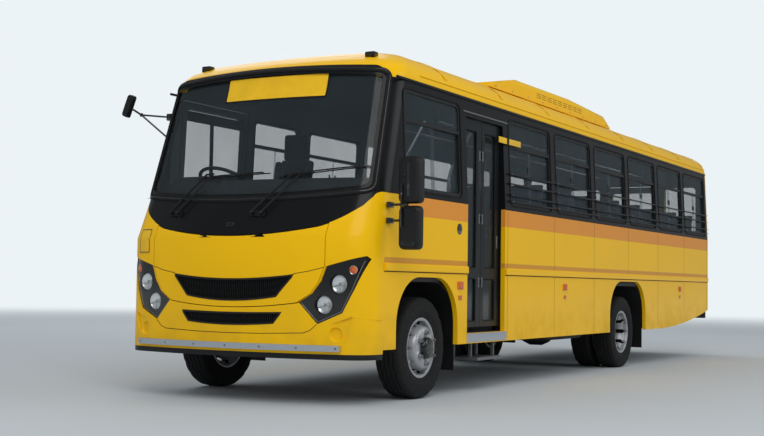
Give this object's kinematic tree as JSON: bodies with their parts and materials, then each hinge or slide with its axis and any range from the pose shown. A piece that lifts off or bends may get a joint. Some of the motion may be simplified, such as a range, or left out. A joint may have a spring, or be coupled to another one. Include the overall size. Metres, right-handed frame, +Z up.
{
  "type": "school bus",
  "caption": "Flat-nosed school bus on a ladder frame with twin rear wheels, steered front wheels, folding entrance door, driver's door, rear exit and front flap.",
  "frame": {"origin": "on the ground under the middle of the bus's overall box", "axes": "+Z up, -Y towards the front of the bus, +X towards its left side with the entrance"},
  "size_m": [2.834, 9.8298, 2.975],
  "materials": {
    "body_yellow": "gloss",
    "roof_yellow": "gloss",
    "body_black": "gloss",
    "chassis": "satin",
    "axle": "rough",
    "tyre": "matte",
    "wheel_silver": "satin",
    "glass": "clear",
    "trim_black": "matte",
    "lamp_clear": "clear",
    "lamp_red": "clear",
    "lamp_amber": "clear",
    "silver_strip": "satin",
    "floor": "matte",
    "steel_grey": "satin",
    "seat_blue": "matte",
    "seat_black": "matte",
    "dash_grey": "matte",
    "roof_unit": "gloss"
  },
  "bodies": {
    "root": {"chassis_frame": "chassis", "tow_lugs": "chassis", "front_axle": "axle", "rear_axle": "axle", "leaf_springs": "axle", "engine_block": "axle", "propeller_shaft": "chassis", "tank_and_battery": "chassis", "exhaust": "steel_grey", "cabin_floor": "floor", "entrance_steps": "steel_grey", "door_frame": "body_black", "side_panels": "body_yellow", "window_bands": "body_black", "front_cap": "body_yellow", "windscreen_surround": "body_black", "windscreen": "glass", "roof": "roof_yellow", "rear_wall": "body_yellow", "side_glass": "glass", "window_frames": "trim_black", "window_guards": "trim_black", "rub_rails": "body_yellow", "lower_grille": "trim_black", "headlamp_housings": "trim_black", "headlamp_lenses": "lamp_clear", "front_bumper": "trim_black", "rear_bumper": "trim_black", "body_lamps": "lamp_amber", "roof_unit": "roof_unit", "mirrors": "trim_black", "wipers": "trim_black", "dashboard": "dash_grey", "driver_seat": "seat_black", "passenger_seats": "seat_blue", "steering_column": "trim_black", "wheel_arch_liners": "trim_black"},
    "front_flap": {"front_flap": "body_yellow", "upper_grille": "trim_black"},
    "knuckle_left": {"knuckle_left": "axle"},
    "knuckle_right": {"knuckle_right": "axle"},
    "wheel_front_left": {"wheel_front_left": "wheel_silver", "tyre_front_left": "tyre"},
    "wheel_front_right": {"wheel_front_right": "wheel_silver", "tyre_front_right": "tyre"},
    "wheels_rear_left": {"wheels_rear_left": "wheel_silver", "tyres_rear_left": "tyre"},
    "wheels_rear_right": {"wheels_rear_right": "wheel_silver", "tyres_rear_right": "tyre"},
    "door_leaf_front": {"door_leaf_front": "body_black", "door_glass_front": "glass"},
    "door_leaf_rear": {"door_leaf_rear": "body_black", "door_glass_rear": "glass"},
    "driver_door": {"driver_door": "body_yellow", "driver_door_glass": "glass"},
    "rear_door": {"rear_door": "body_yellow", "rear_door_glass": "glass"}
  },
  "joints": [
    {"name": "steer_left", "type": "hinge", "parent": "root", "child": "knuckle_left", "pos_m": [0.79, -3.715, 0.402], "axis": [0, 0, 1], "range_deg": [-35, 35]},
    {"name": "steer_right", "type": "hinge", "parent": "root", "child": "knuckle_right", "pos_m": [-0.79, -3.715, 0.402], "axis": [0, 0, 1], "range_deg": [-35, 35]},
    {"name": "spin_front_left", "type": "hinge", "parent": "knuckle_left", "child": "wheel_front_left", "pos_m": [0.94, -3.715, 0.402], "axis": [1, 0, 0], "continuous": true},
    {"name": "spin_front_right", "type": "hinge", "parent": "knuckle_right", "child": "wheel_front_right", "pos_m": [-0.94, -3.715, 0.402], "axis": [1, 0, 0], "continuous": true},
    {"name": "spin_rear_left", "type": "hinge", "parent": "root", "child": "wheels_rear_left", "pos_m": [0.81, 1.235, 0.402], "axis": [1, 0, 0], "continuous": true},
    {"name": "spin_rear_right", "type": "hinge", "parent": "root", "child": "wheels_rear_right", "pos_m": [-0.81, 1.235, 0.402], "axis": [1, 0, 0], "continuous": true},
    {"name": "entrance_front", "type": "hinge", "parent": "root", "child": "door_leaf_front", "pos_m": [1.029, -3.039, 1.4], "axis": [0, 0, 1], "range_deg": [0, 88]},
    {"name": "entrance_rear", "type": "hinge", "parent": "door_leaf_front", "child": "door_leaf_rear", "pos_m": [1.066, -2.665, 1.4], "axis": [0, 0, 1], "range_deg": [-176, 0]},
    {"name": "driver_door", "type": "hinge", "parent": "root", "child": "driver_door", "pos_m": [-1.135, -4.1515, 1.5], "axis": [0, 0, 1], "range_deg": [0, 70]},
    {"name": "rear_door", "type": "hinge", "parent": "root", "child": "rear_door", "pos_m": [-0.3765, 4.886, 1.6], "axis": [0, 0, 1], "range_deg": [0, 100]},
    {"name": "front_flap", "type": "hinge", "parent": "root", "child": "front_flap", "pos_m": [0, -4.873, 1.259], "axis": [-1, 0, 0], "range_deg": [0, 60]}
  ],
  "couplings": [
    {"joint": "steer_right", "follows": "steer_left", "ratio": 1},
    {"joint": "entrance_rear", "follows": "entrance_front", "ratio": -2}
  ]
}
